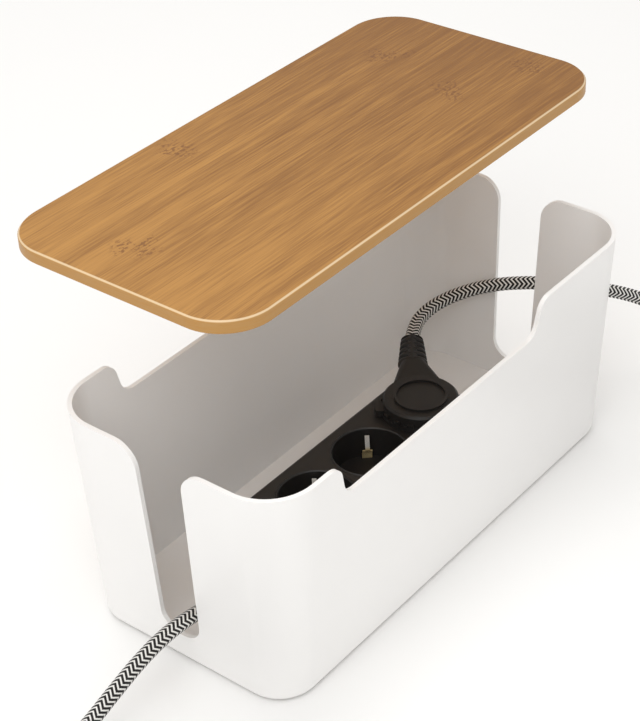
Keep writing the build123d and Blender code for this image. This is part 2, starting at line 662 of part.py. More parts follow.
def connector_body():
    """The appliance connector: bevelled on one side, with three contact slots; +X is its open end."""
    half = CONNECTOR_WIDTH / 2
    tall = CONNECTOR_HEIGHT / 2
    outline = [
        (-half, -tall),
        (half, -tall),
        (half, tall - CONNECTOR_BEVEL),
        (half - CONNECTOR_BEVEL, tall),
        (CONNECTOR_BEVEL - half, tall),
        (-half, tall - CONNECTOR_BEVEL),
    ]
    face = make_face(Polyline(*outline, close=True))
    plane = Plane((CONNECTOR_RELIEF_LENGTH, 0, 0), x_dir=(0, 1, 0), z_dir=(1, 0, 0))
    body = extrude(plane * face, CONNECTOR_LENGTH)
    body = chamfer(body.faces().sort_by(Axis.X)[0].edges(), 2.0)
    for x, y, z in connector_slots():
        body -= Pos(x, y, z) * Box(CONNECTOR_SLOT_DEPTH, 3.4, 6.4)
    return body


def connector_slots():
    """The middles of the connector's three contact slots."""
    x = CONNECTOR_RELIEF_LENGTH + CONNECTOR_LENGTH - CONNECTOR_SLOT_DEPTH / 2
    return [(x, side * CONNECTOR_PITCH, -2.0 if side else 1.6) for side in (-1, 0, 1)]


def connector_contacts():
    """The three folded contacts inside the connector's slots."""
    contact = Box(13.0, 2.8, 5.6) - Box(13.0, 2.0, 4.8)
    return [Pos(x - 2.0, y, z) * contact for x, y, z in connector_slots()]


def connector_relief():
    """The connector's strain relief, as a plain tapered sleeve."""
    return Pos(CONNECTOR_RELIEF_LENGTH / 2, 0, 0) * Rot(0, 90, 0) * Cone(
        RELIEF_TIP_RADIUS, 6.0, CONNECTOR_RELIEF_LENGTH
    )


def strip_nodes():
    """The power strip's pieces, by name."""
    nodes = {
        "strip_cover": make_strip_cover(),
        "strip_base": make_strip_base(),
        "strip_screws": make_strip_screws(),
        "live_bar": make_contact_bar(1),
        "neutral_bar": make_contact_bar(-1),
        "earth_bar": make_earth_bar(),
        "supply_gland": make_gland(),
        "supply_cord_tail": make_supply_tail(),
        "cord_clamp": make_clamp(),
        "clamp_screws": make_clamp_screws(),
    }
    nodes.update(make_wires())
    for number, x in enumerate(SOCKET_XS, 1):
        nodes[f"socket_insert_{number}"] = make_insert(x)
        nodes[f"earth_clip_{number}"] = make_earth_clip(x)
    return nodes


def lead_nodes():
    """The two leads and the pieces on them, by name."""
    plug_tail, connector_place = make_connector_end()
    seat = Pos(SOCKET_XS[-1], STRIP_MIDDLE_Y, PLUG_SEAT) * Rot(0, 0, SOCKET_TURN)
    nodes = {f"plug_{key}": made for key, made in make_plug(seat, RELIEF_TURN).items()}
    nodes.update({f"supply_plug_{key}": made for key, made in make_plug(make_supply_place(), 0.0).items()})
    nodes["plug_cord"] = lead_tube("plug_cord", PLUG_ROUTE)
    nodes["plug_cord_coil"] = lead_coil(
        PLUG_COIL, PLUG_ROUTE[-1], COIL_HIGH, PLUG_COIL_EXIT_ANGLE, COIL_LOW, True
    )
    nodes["plug_cord_end"] = lead_tube("plug_cord_end", plug_tail)
    nodes["plug_cord_tie"] = coil_tie(PLUG_COIL, 150.0)
    nodes["connector_body"] = connector_place * connector_body()
    nodes["connector_contacts"] = [connector_place * c for c in connector_contacts()]
    nodes["connector_relief"] = connector_place * connector_relief()
    nodes["supply_cord"] = lead_tube("supply_cord", SUPPLY_ROUTE)
    nodes["supply_cord_coil"] = lead_coil(
        SUPPLY_COIL, SUPPLY_ROUTE[-1], COIL_HIGH, SUPPLY_EXIT_ANGLE, COIL_LOW, False
    )
    nodes["supply_cord_tie"] = coil_tie(SUPPLY_COIL, 40.0)
    return nodes


def main():
    """Build every piece and write one STEP file for each."""
    nodes = {
        "tub": make_tub(),
        "tub_feet": make_feet(),
        "lid_board": make_lid(),
        "lid_pads": make_lid_pads(),
    }
    nodes.update(strip_nodes())
    nodes.update(lead_nodes())
    os.makedirs("parts", exist_ok=True)
    for name, made in nodes.items():
        if isinstance(made, list):
            made = Compound(children=[solid for piece in made for solid in piece.solids()])
        export_step(made, f"parts/{name}.step")
    print(len(nodes), "nodes")


main()
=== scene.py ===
"""A lidded cable box with a power strip and two braided leads, dressed for a studio view."""

import json
import logging
import math
from dataclasses import dataclass, field
from enum import Enum

import bpy
from mathutils import Matrix, Vector


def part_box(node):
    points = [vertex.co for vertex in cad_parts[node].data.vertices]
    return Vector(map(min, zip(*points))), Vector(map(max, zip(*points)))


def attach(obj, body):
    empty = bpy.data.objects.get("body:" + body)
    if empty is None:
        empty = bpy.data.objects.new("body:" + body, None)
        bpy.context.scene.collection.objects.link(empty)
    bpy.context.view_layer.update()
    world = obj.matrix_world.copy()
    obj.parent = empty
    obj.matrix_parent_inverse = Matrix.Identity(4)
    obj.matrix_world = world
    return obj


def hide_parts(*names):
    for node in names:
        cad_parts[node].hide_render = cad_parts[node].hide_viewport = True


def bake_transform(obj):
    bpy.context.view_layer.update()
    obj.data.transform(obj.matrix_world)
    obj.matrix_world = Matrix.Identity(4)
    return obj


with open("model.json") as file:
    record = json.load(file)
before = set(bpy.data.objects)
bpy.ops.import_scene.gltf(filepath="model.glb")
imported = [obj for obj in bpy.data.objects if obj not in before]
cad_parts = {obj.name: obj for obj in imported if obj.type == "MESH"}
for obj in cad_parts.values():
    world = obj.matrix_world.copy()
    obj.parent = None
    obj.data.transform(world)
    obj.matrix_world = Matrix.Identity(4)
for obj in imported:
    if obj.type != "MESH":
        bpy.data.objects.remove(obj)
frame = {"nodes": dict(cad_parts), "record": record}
LOG = logging.getLogger("cable_box")
MM = 0.001
Point = tuple[float, float, float]
Colour = tuple[float, float, float]


class Body(Enum):
    """The rigid bodies that pieces ride on."""

    BOX = "box"
    PLUG = "plug"


class Slot(Enum):
    """The material slots of the record that new pieces take their finish from."""

    RUBBER = "black_rubber"
    BRAID = "braid"


# --- Shader building -------------------------------------------------------------------------


class Num:
    """A number in a shader: an expression on it adds the Math nodes it needs."""

    def __init__(self, graph: "Graph", socket: bpy.types.NodeSocket) -> None:
        """Wrap one socket of a graph.

        Args:
            graph: The graph that new nodes are added to.
            socket: The output socket that carries the number.
        """
        self.graph = graph
        self.socket = socket

    def _math(self, operation: str, *values: "Num | float") -> "Num":
        """Add one Math node.

        Args:
            operation: The node's operation.
            *values: Its inputs, in order.

        Returns:
            The node's result.
        """
        node = self.graph.node("ShaderNodeMath", {"operation": operation}, dict(enumerate(values)))
        return Num(self.graph, node.outputs[0])

    def __add__(self, other: "Num | float") -> "Num":
        """Sum."""
        return self._math("ADD", self, other)

    def __sub__(self, other: "Num | float") -> "Num":
        """Difference."""
        return self._math("SUBTRACT", self, other)

    def __mul__(self, other: "Num | float") -> "Num":
        """Product."""
        return self._math("MULTIPLY", self, other)

    def __truediv__(self, other: "Num | float") -> "Num":
        """Quotient."""
        return self._math("DIVIDE", self, other)

    def __radd__(self, other: float) -> "Num":
        """Sum, with the number on the left."""
        return self._math("ADD", other, self)

    def __rsub__(self, other: float) -> "Num":
        """Difference, with the number on the left."""
        return self._math("SUBTRACT", other, self)

    def __rmul__(self, other: float) -> "Num":
        """Product, with the number on the left."""
        return self._math("MULTIPLY", other, self)

    def floor(self) -> "Num":
        """The whole part."""
        return self._math("FLOOR", self)

    def fraction(self) -> "Num":
        """The part after the point."""
        return self._math("FRACT", self)

    def absolute(self) -> "Num":
        """The size without the sign."""
        return self._math("ABSOLUTE", self)

    def root(self) -> "Num":
        """The square root."""
        return self._math("SQRT", self)

    def positive(self) -> "Num":
        """Itself, or nought where it is less."""
        return self._math("MAXIMUM", self, 0.0)

    def zigzag(self) -> "Num":
        """A wave that falls from one to nought and back in each unit."""
        return ((self.fraction() - 0.5) * 2.0).absolute()

    def ramp(self, low: float, high: float) -> "Num":
        """A smooth step.

        Args:
            low: Where the step starts.
            high: Where it ends; below low for a step down.

        Returns:
            Nought before low, one after high.
        """
        settings = {"interpolation_type": "SMOOTHSTEP"}
        up, down = (0.0, 1.0) if low < high else (1.0, 0.0)
        values = {0: self, 1: min(low, high), 2: max(low, high), 3: up, 4: down}
        return Num(self.graph, self.graph.node("ShaderNodeMapRange", settings, values).outputs[0])


class Graph:
    """One material's node tree, with a Principled shader at its end."""

    def __init__(self, name: str, **constants: float | Colour) -> None:
        """Start a material.

        Args:
            name: The material's name.
            **constants: Values for the shader's own sockets, named in lower case with underscores.
        """
        self.material = bpy.data.materials.new(name)
        self.material.use_nodes = True
        self.tree = self.material.node_tree
        self.shader = next(n for n in self.tree.nodes if n.type == "BSDF_PRINCIPLED")
        for key, value in constants.items():
            socket = self.shader.inputs[self._title(key)]
            socket.default_value = (*value, 1.0) if isinstance(value, tuple) else value

    @staticmethod
    def _title(key: str) -> str:
        """The socket's name for a key: base_color gives Base Color."""
        return key.replace("_", " ").title().replace("Ior", "IOR")

    def node(self, kind: str, settings: dict, values: dict) -> bpy.types.Node:
        """Add one node.

        Args:
            kind: The node's type.
            settings: Attributes that are set first.
            values: Values or links, by socket number or name.

        Returns:
            The new node.
        """
        made = self.tree.nodes.new(kind)
        for key, value in settings.items():
            setattr(made, key, value)
        for key, value in values.items():
            if isinstance(value, Num):
                value = value.socket
            if isinstance(value, bpy.types.NodeSocket):
                self.tree.links.new(value, made.inputs[key])
            else:
                made.inputs[key].default_value = value
        return made

    def feed(self, name: str, value: "Num | bpy.types.NodeSocket") -> None:
        """Link a value to one of the shader's sockets."""
        socket = value.socket if isinstance(value, Num) else value
        self.tree.links.new(socket, self.shader.inputs[name])

    def place(self, shift: Point = (0.0, 0.0, 0.0), scale: Point = (1.0, 1.0, 1.0)) -> bpy.types.NodeSocket:
        """The point's place on the object, moved by shift and then scaled."""
        source = self.node("ShaderNodeTexCoord", {}, {}).outputs["Object"]
        moved = self.node("ShaderNodeVectorMath", {"operation": "ADD"}, {0: source, 1: shift}).outputs[0]
        return self.node("ShaderNodeVectorMath", {"operation": "MULTIPLY"}, {0: moved, 1: scale}).outputs[0]

    def parts(self, vector: bpy.types.NodeSocket) -> tuple[Num, Num, Num]:
        """A vector's three numbers."""
        split = self.node("ShaderNodeSeparateXYZ", {}, {0: vector})
        return Num(self, split.outputs[0]), Num(self, split.outputs[1]), Num(self, split.outputs[2])

    def noise(self, vector: bpy.types.NodeSocket, scale: float, detail: float = 3.0) -> Num:
        """Smooth noise, about nought to one."""
        values = {"Vector": vector, "Scale": scale, "Detail": detail}
        return Num(self, self.node("ShaderNodeTexNoise", {}, values).outputs[0])

    def chance(self, value: Num) -> Num:
        """A random number for each value."""
        node = self.node("ShaderNodeTexWhiteNoise", {"noise_dimensions": "1D"}, {"W": value})
        return Num(self, node.outputs[0])

    def mix(self, factor: Num | float, low: object, high: object) -> bpy.types.NodeSocket:
        """A colour between two colours."""
        settings = {"data_type": "RGBA", "clamp_factor": True}
        colours = [(*c, 1.0) if isinstance(c, tuple) else c for c in (low, high)]
        node = self.node("ShaderNodeMix", settings, {0: factor, 6: colours[0], 7: colours[1]})
        return node.outputs[2]

    def bump(self, height: Num, strength: float, distance: float) -> None:
        """Raise the surface by a height, in the shader's normal."""
        values = {"Strength": strength, "Distance": distance, "Height": height}
        self.feed("Normal", self.node("ShaderNodeBump", {}, values).outputs[0])


@dataclass(frozen=True)
class Moulded:
    """A moulded plastic or rubber: an even colour, a fine grain and slightly uneven gloss."""

    name: str
    colour: Colour
    roughness: float
    grain: float = 1800.0
    strength: float = 0.12
    specular: float = 0.5
    uneven: float = 0.05

    def build(self) -> bpy.types.Material:
        """Make the material."""
        graph = Graph(self.name, specular_ior_level=self.specular)
        place = graph.place()
        cloud = graph.noise(place, 35.0)
        fine = graph.noise(place, self.grain, 2.0)
        lighter = tuple(min(1.0, c * (1.0 + self.uneven)) for c in self.colour)
        darker = tuple(c * (1.0 - self.uneven) for c in self.colour)
        graph.feed("Base Color", graph.mix(cloud.ramp(0.3, 0.7), darker, lighter))
        graph.feed("Roughness", self.roughness + (cloud - 0.5) * self.uneven + (fine - 0.5) * 0.06)
        graph.bump(fine, self.strength, 0.0001)
        return graph.material


@dataclass(frozen=True)
class Metal:
    """A plated or drawn metal with fine scratches; low on the earth clips a golden tint is painted in as a
    reflection.
    """

    name: str
    colour: Colour
    roughness: float
    metallic: float = 1.0
    painted_reflection_colour: Colour | None = None
    root_top: float = 0.0345
    root_reach: float = 0.11

    def build(self) -> bpy.types.Material:
        """Make the material."""
        graph = Graph(self.name, metallic=self.metallic)
        scratches = graph.noise(graph.place(scale=(1.0, 9.0, 9.0)), 260.0)
        cloud = graph.noise(graph.place(), 90.0)
        darker = tuple(c * 0.8 for c in self.colour)
        colour = graph.mix(cloud.ramp(0.35, 0.7), darker, self.colour)
        # Below root_top the metal turns golden: a painted reflection, the warm glint low on the earth clips,
        # not a colour of the plating.
        if self.painted_reflection_colour:
            x, _, z = graph.parts(graph.place())
            low = z.ramp(self.root_top + 0.001, self.root_top - 0.001)
            near = x.absolute().ramp(self.root_reach + 0.01, self.root_reach - 0.01)
            colour = graph.mix(low * near, colour, self.painted_reflection_colour)
        graph.feed("Base Color", colour)
        graph.feed("Roughness", self.roughness + (scratches - 0.5) * 0.18)
        graph.bump(scratches, 0.08, 0.00005)
        return graph.material


@dataclass(frozen=True)
class Bamboo:
    """Varnished bamboo: narrow strips side by side, fibres along X and a few knuckle patches."""

    centre: Point
    half: Point
    bend: float = 0.027
    chamfer: float = 0.001
    strip: float = 0.0058
    knuckle_long: float = 0.0085
    knuckle_wide: float = 0.0135
    dark: Colour = (0.225, 0.090, 0.013)
    light: Colour = (0.475, 0.232, 0.052)
    edge: Colour = (0.47, 0.26, 0.085)
    # corner is the colour of a painted highlight along the chamfer of the lid's top edge.
    corner: Colour = (0.86, 0.68, 0.44)
    knuckle: Colour = (0.17, 0.060, 0.010)
    knuckles: tuple[tuple[float, float], ...] = (
        (-0.040, 0.058),
        (-0.122, 0.010),
        (0.105, 0.035),
        (0.085, -0.016),
        (0.137, -0.035),
    )

    def build(self) -> bpy.types.Material:
        """Make the material."""
        graph = Graph("bamboo", specular_ior_level=0.35)
        shift = tuple(-c for c in self.centre)
        place = graph.place(shift)
        x, y, z = graph.parts(place)
        long_fibres = graph.noise(graph.place(shift, (0.03, 1.0, 1.0)), 1250.0, 4.0)
        streaks = graph.noise(graph.place(shift, (0.03, 1.0, 1.0)), 170.0, 3.0)
        bands = graph.noise(graph.place(shift, (0.05, 1.0, 1.0)), 38.0, 2.0)
        strips = graph.chance(((y + (bands - 0.5) * 0.0006) / self.strip).floor())
        seam = ((y / self.strip).fraction() - 0.5).absolute().ramp(0.47, 0.5)
        # The - x * 1.9 term is painted shade: the wood darkens steadily from the -X end to the +X end, as the
        # light falls off across the lid.
        tone = 0.38 - x * 1.9 + (long_fibres - 0.5) * 1.5 + (streaks - 0.5) * 0.45 + (bands - 0.5) * 0.3
        tone = tone + (strips - 0.5) * 0.26 - seam * 0.10
        wood = graph.mix(tone.ramp(-0.15, 1.05), self.dark, self.light)
        mottle = graph.noise(graph.place(shift, (0.7, 1.0, 1.0)), 560.0, 3.0).ramp(0.50, 0.60)
        patch: Num | float = 0.0
        for number, (at_x, at_y) in enumerate(self.knuckles):
            lean = 0.10 * (-1) ** number
            lengthways = (x - at_x + (y - at_y) * lean + (strips - 0.5) * 0.012) / self.knuckle_long
            across = (y - at_y) / self.knuckle_wide
            patch = (lengthways * lengthways + across * across).ramp(1.3, 0.25) + patch
        wood = graph.mix(patch * mottle * 0.72, wood, self.knuckle)
        rim_x = (x.absolute() - (self.half[0] - 0.0016)).ramp(0.0, 0.0006)
        side = (self.half[2] - 0.0002 - z).ramp(0.0001, 0.0009)
        layers = graph.noise(graph.place(shift, (0.06, 0.06, 1.0)), 1500.0, 3.0)
        edge = graph.mix((layers.ramp(0.35, 0.65) * 0.5 + rim_x * 0.2), self.edge, self.light)
        past_x = (x.absolute() - (self.half[0] - self.bend)).positive()
        past_y = (y.absolute() - (self.half[1] - self.bend)).positive()
        inside = self.bend - (past_x * past_x + past_y * past_y).root()
        below = self.half[2] - z
        # line marks the chamfer band round the top face; mixing it towards corner paints a highlight along
        # the edge.
        line = inside.ramp(1.1 * self.chamfer, 0.8 * self.chamfer)
        line = line * below.ramp(0.9 * self.chamfer, 0.6 * self.chamfer)
        faces = graph.mix(side, wood, edge)
        graph.feed("Base Color", graph.mix(line * 0.75, faces, self.corner))
        graph.feed("Roughness", 0.42 + (long_fibres - 0.5) * 0.2)
        graph.bump(long_fibres * 0.6 + patch * mottle * 0.4, 0.10, 0.00012)
        return graph.material


@dataclass(frozen=True)
class Braid:
    """Woven cord cover: white yarn with black zigzag stripes round it, read from the piece's UV map."""

    pitch: float = 0.0025
    zigzags: float = 4.0
    reach: float = 0.95
    white: Colour = (0.84, 0.83, 0.80)
    black: Colour = (0.012, 0.011, 0.011)

    def build(self) -> bpy.types.Material:
        """Make the material."""
        graph = Graph("braid", specular_ior_level=0.2, sheen_weight=0.1, sheen_roughness=0.5)
        lengthways, round_, _ = graph.parts(graph.node("ShaderNodeUVMap", {}, {}).outputs[0])
        leg = (round_ * self.zigzags).zigzag()
        phase = lengthways / self.pitch + leg * self.reach
        fuzz = graph.noise(graph.place(), 1500.0, 3.0)
        stripe = (phase + (fuzz - 0.5) * 0.14).zigzag()
        yarn = (phase * 2.0).zigzag()
        thread = (round_ * self.zigzags * 12.0).zigzag()
        # shade paints the white yarn darker in the hollows between yarns, and thread paints the black lighter
        # on the raised threads: painted shade and a painted highlight that follow the bump.
        shade = 0.82 + yarn * 0.18
        white = graph.mix(shade, (0.42, 0.41, 0.39), self.white)
        black = graph.mix(thread * fuzz, self.black, (0.030, 0.028, 0.027))
        graph.feed("Base Color", graph.mix(stripe.ramp(0.35, 0.47), white, black))
        graph.feed("Roughness", 0.72 + (fuzz - 0.5) * 0.3)
        graph.bump(yarn * 0.7 + thread * 0.3 + fuzz * 0.3, 0.75, 0.00028)
        return graph.material


@dataclass(frozen=True)
class Tape:
    """Hook and loop tape: a matt fabric with a pile."""

    colour: Colour = (0.02, 0.02, 0.022)

    def build(self) -> bpy.types.Material:
        """Make the material."""
        graph = Graph("tape", specular_ior_level=0.2, sheen_weight=0.25)
        pile = graph.noise(graph.place(), 1600.0, 3.0)
        lighter = tuple(c * 3.0 for c in self.colour)
        graph.feed("Base Color", graph.mix(pile.ramp(0.4, 0.8), self.colour, lighter))
        graph.feed("Roughness", 0.8 + (pile - 0.5) * 0.3)
        graph.bump(pile, 0.8, 0.0003)
        return graph.material


# --- Mesh helpers ----------------------------------------------------------------------------


def deselect() -> None:
    """Leave edit mode and deselect everything."""
    if bpy.context.object and bpy.context.object.mode != "OBJECT":
        bpy.ops.object.mode_set(mode="OBJECT")
    bpy.ops.object.select_all(action="DESELECT")


def oval(name: str, profile: list[Point], place: Matrix, sides: int = 40) -> bpy.types.Object:
    """Model a closed oval piece: a disc is extruded and resized station by station along +Z.

    Args:
        name: The piece's name.
        profile: The height, half width and half depth of each station, from the bottom, in metres.
        place: Where the piece's own frame stands.
        sides: How many sides the piece has round it.

    Returns:
        The finished piece, with its place in its mesh.
    """
    deselect()
    height, width, depth = profile[0]
    bpy.ops.mesh.primitive_circle_add(vertices=sides, radius=width, fill_type="NGON", location=(0, 0, height))
    piece = bpy.context.object
    piece.name = name
    bpy.ops.object.mode_set(mode="EDIT")
    bpy.ops.mesh.select_all(action="SELECT")
    bpy.ops.transform.resize(value=(1.0, depth / width, 1.0))
    for next_height, next_width, next_depth in profile[1:]:
        rise = {"value": (0.0, 0.0, next_height - height)}
        bpy.ops.mesh.extrude_region_move(TRANSFORM_OT_translate=rise)
        bpy.ops.transform.resize(value=(next_width / width, next_depth / depth, 1.0))
        height, width, depth = next_height, next_width, next_depth
    bpy.ops.mesh.select_all(action="SELECT")
    bpy.ops.mesh.normals_make_consistent(inside=False)
    bpy.ops.object.mode_set(mode="OBJECT")
    settle(piece, place)
    return piece


def settle(piece: bpy.types.Object, place: Matrix) -> None:
    """Move a piece's place into its mesh.

    Args:
        piece: The piece.
        place: Where its own frame stands.
    """
    piece.data.transform(place @ piece.matrix_world)
    piece.matrix_world = Matrix.Identity(4)


def smooth(piece: bpy.types.Object, angle: float = 40.0) -> None:
    """Shade a piece smooth up to an angle in degrees."""
    deselect()
    piece.select_set(True)
    bpy.context.view_layer.objects.active = piece
    bpy.ops.object.shade_smooth_by_angle(angle=math.radians(angle))


def joined(pieces: list[bpy.types.Object], name: str) -> bpy.types.Object:
    """Join pieces into one.

    Args:
        pieces: The pieces.
        name: The joined piece's name.

    Returns:
        The joined piece.
    """
    deselect()
    for piece in pieces:
        piece.select_set(True)
    bpy.context.view_layer.objects.active = pieces[0]
    bpy.ops.object.join()
    pieces[0].name = name
    return pieces[0]


def soften(node: bpy.types.Object, width: float, angle: float = 34.0) -> None:
    """Round a moulded piece's hard edges a little, for the light to catch.

    Args:
        node: The piece.
        width: How wide the rounding is, in metres.
        angle: Edges sharper than this are rounded, in degrees.
    """
    for face in node.data.polygons:
        face.use_smooth = True
    weld = node.modifiers.new("weld", "WELD")
    weld.merge_threshold = 0.000004
    bevel = node.modifiers.new("round", "BEVEL")
    bevel.width = width
    bevel.segments = 3
    bevel.limit_method = "ANGLE"
    bevel.angle_limit = math.radians(angle)
    bevel.use_clamp_overlap = True
    bevel.miter_outer = "MITER_ARC"
    normals = node.modifiers.new("even", "WEIGHTED_NORMAL")
    normals.weight = 60


# --- Camera, light and floor -----------------------------------------------------------------


@dataclass
class Studio:
    """The camera, the lights and the pale floor; room is how bright the walls are."""

    eye: Point = (-0.6205, -0.4860, 0.6401)
    azimuth: float = -50.498
    elevation: float = 34.557
    roll: float = -2.4175
    lens: float = 94.376
    room: float = 0.72

    def camera(self) -> None:
        """Stand the camera."""
        az, el, roll = (math.radians(a) for a in (self.azimuth, self.elevation, self.roll))
        back = Vector((math.sin(az) * math.cos(el), -math.cos(az) * math.cos(el), math.sin(el)))
        right = Vector((math.cos(az), math.sin(az), 0.0))
        up = back.cross(right)
        right, up = (
            right * math.cos(roll) + up * math.sin(roll),
            up * math.cos(roll) - right * math.sin(roll),
        )
        data = bpy.data.cameras.new("camera")
        data.lens = self.lens
        data.sensor_width = 36.0
        data.clip_start = 0.05
        data.clip_end = 50.0
        camera = bpy.data.objects.new("camera", data)
        turn = Matrix((right, up, back)).transposed().to_4x4()
        camera.matrix_world = Matrix.Translation(self.eye) @ turn
        bpy.context.scene.collection.objects.link(camera)
        bpy.context.scene.camera = camera

    def lamp(self, name: str, place: Point, aim: Point, size: float, watts: float) -> None:
        """Hang one soft lamp.

        Args:
            name: Its name.
            place: Where it hangs.
            aim: The point it faces.
            size: Its width.
            watts: Its power.
        """
        data = bpy.data.lights.new(name, "AREA")
        data.shape = "DISK"
        data.size = size
        data.energy = watts
        lamp = bpy.data.objects.new(name, data)
        lamp.location = place
        lamp.rotation_euler = (Vector(aim) - Vector(place)).to_track_quat("-Z", "Y").to_euler()
        bpy.context.scene.collection.objects.link(lamp)

    def light(self) -> None:
        """Light the room."""
        scene = bpy.context.scene
        scene.view_settings.view_transform = "Standard"
        world = scene.world or bpy.data.worlds.new("room")
        scene.world = world
        world.use_nodes = True
        background = next(n for n in world.node_tree.nodes if n.type == "BACKGROUND")
        background.inputs[0].default_value = (1.0, 0.99, 0.975, 1.0)
        background.inputs[1].default_value = self.room
        self.lamp("key", (-0.66, -0.3, 0.86), (0.0, 0.0, 0.05), 0.8, 3.6)
        self.lamp("top", (0.3, 0.5, 1.8), (0.0, 0.0, 0.0), 1.3, 10.0)

    def floor(self) -> None:
        """Lay the floor."""
        deselect()
        bpy.ops.mesh.primitive_plane_add(size=30.0, location=(0, 0, -0.0002))
        floor = bpy.context.object
        floor.name = "floor"
        graph = Graph("floor", roughness=0.9, specular_ior_level=0.1)
        tone = graph.noise(graph.place(), 3.0)
        graph.feed("Base Color", graph.mix(tone, (0.93, 0.925, 0.915), (0.95, 0.945, 0.935)))
        floor.data.materials.append(graph.material)

    def build(self) -> None:
        """Set the studio up."""
        self.camera()
        self.light()
        self.floor()
        LOG.info("studio: camera, two lamps and a floor")


# --- Leads -----------------------------------------------------------------------------------


@dataclass
class Coil:
    """The put-away length: a spiral inwards in the upper layer and outwards in the lower one."""

    centre: tuple[float, float]
    start: float
    way: int
    turns: float
    exit_angle: float
    outer: float = 48.75
    pitch: float = 7.7
    high: float = 12.4
    low: float = 4.9
    stub: float = 31.0
    per_turn: int = 16
    steepness: float = 1.6

    def way_out(self) -> tuple[float, float]:
        """The flat direction in which the stub leaves the coil."""
        turn = math.radians(self.exit_angle)
        return -self.way * math.sin(turn), self.way * math.cos(turn)

    def points(self) -> list[Point]:
        """The turns' points, in millimetres, from where the lead joins to the end of the stub.

        Returns:
            The points.
        """
        steps = round(self.turns * self.per_turn)
        swell = 1.0 / math.cos(math.pi * self.turns / steps)
        made = []
        for step in range(steps + 1):
            turned_by = self.turns * step / steps
            angle = math.radians(self.start + self.way * 360.0 * turned_by)
            radius = self.outer - self.pitch * min(turned_by, self.turns - turned_by)
            radius *= swell if 0 < step < steps else 1.0
            drop = min(1.0, max(0.0, (turned_by - self.turns / 2) * self.steepness + 0.5))
            z = self.high + (self.low - self.high) * drop * drop * (3 - 2 * drop)
            made.append(
                (
                    self.centre[0] + radius * math.cos(angle),
                    self.centre[1] + radius * math.sin(angle),
                    z,
                )
            )
        out = self.way_out()
        last = made[-1]
        for reach in (self.stub * 0.5, self.stub):
            made.append((last[0] + reach * out[0], last[1] + reach * out[1], self.low))
        return made


SUPPLY_COIL = Coil((-238.0, -84.0), 180.0, 1, 5 + 15 / 360, 195.0)
PLUG_COIL = Coil((167.0, -148.3), 0.0, -1, 4 + 97 / 360, -97.0)


@dataclass
class BraidedLead:
    """A braided lead along one smooth line, with its braid's pattern in its UV map."""

    name: str
    route: list[Point]
    radius: float = 3.75
    around: int = 28
    spacing: float = 1.15
    swell: float = 0.0
    fade: float = 22.0

    def line(self) -> list[Vector]:
        """The lead's smooth line, as points read from its spline, in metres.

        Returns:
            The points.
        """
        data = bpy.data.curves.new(self.name + "_line", "CURVE")
        data.dimensions = "3D"
        data.resolution_u = 12
        spline = data.splines.new("NURBS")
        spline.points.add(len(self.route) - 1)
        for point, (x, y, z) in zip(spline.points, self.route):
            point.co = (x * MM, y * MM, z * MM, 1.0)
        spline.order_u = 3
        spline.use_endpoint_u = True
        carrier = bpy.data.objects.new(self.name + "_line", data)
        bpy.context.scene.collection.objects.link(carrier)
        bpy.context.view_layer.update()
        mesh = bpy.data.meshes.new_from_object(carrier)
        points = [vertex.co.copy() for vertex in mesh.vertices]
        bpy.data.objects.remove(carrier)
        return points

    def stations(self, line: list[Vector]) -> list[Vector]:
        """Even stations along a line.

        Args:
            line: The line's points.

        Returns:
            Points a short, even distance apart.
        """
        ends = [0.0]
        for a, b in zip(line, line[1:]):
            ends.append(ends[-1] + (b - a).length)
        count = int(ends[-1] / (self.spacing * MM))
        made, index = [], 0
        for step in range(count + 1):
            at = ends[-1] * step / count
            while index < len(line) - 2 and ends[index + 1] < at:
                index += 1
            share = (at - ends[index]) / max(ends[index + 1] - ends[index], 1e-9)
            made.append(line[index].lerp(line[index + 1], min(1.0, share)))
        return made

    def build(self) -> tuple[bpy.types.Object, list[Vector]]:
        """Model the lead.

        Returns:
            The lead and the points that it follows.
        """
        line = self.line()
        places = self.stations(line)
        count = len(places)
        ways = [(places[min(i + 1, count - 1)] - places[max(i - 1, 0)]).normalized() for i in range(count)]
        side = ways[0].cross(Vector((0, 0, 1))).normalized()
        vertices, faces, rows = [], [], []
        travelled = 0.0
        for i, (place, way) in enumerate(zip(places, ways)):
            side = (side - way * side.dot(way)).normalized()
            other = way.cross(side)
            travelled += (place - places[i - 1]).length if i else 0.0
            rows.append(travelled)
            radius = self.radius * MM * (1.0 + self.swell * math.exp(-travelled / (self.fade * MM)))
            for k in range(self.around):
                angle = math.tau * k / self.around
                offset = side * math.cos(angle) + other * math.sin(angle)
                vertices.append(place + offset * radius)
        for i in range(count - 1):
            for k in range(self.around):
                following = (k + 1) % self.around
                a, b = i * self.around, (i + 1) * self.around
                faces.append((a + k, a + following, b + following, b + k))
        mesh = bpy.data.meshes.new(self.name)
        mesh.from_pydata(vertices, [], faces)
        pattern = mesh.uv_layers.new(name="UVMap").data
        corner = 0
        for i in range(count - 1):
            for k in range(self.around):
                low, high = k / self.around, (k + 1) / self.around
                for u, v in ((rows[i], low), (rows[i], high), (rows[i + 1], high), (rows[i + 1], low)):
                    pattern[corner].uv = (u, v)
                    corner += 1
        lead = bpy.data.objects.new(self.name, mesh)
        bpy.context.scene.collection.objects.link(lead)
        self.close(lead)
        for face in lead.data.polygons:
            face.use_smooth = len(face.vertices) == 4
        return lead, line

    @staticmethod
    def close(lead: bpy.types.Object) -> None:
        """Close the lead's two ends and face it outwards."""
        deselect()
        lead.select_set(True)
        bpy.context.view_layer.objects.active = lead
        bpy.ops.object.mode_set(mode="EDIT")
        bpy.ops.mesh.select_all(action="SELECT")
        bpy.ops.mesh.fill_holes(sides=0)
        bpy.ops.mesh.select_all(action="SELECT")
        bpy.ops.mesh.normals_make_consistent(inside=False)
        bpy.ops.object.mode_set(mode="OBJECT")


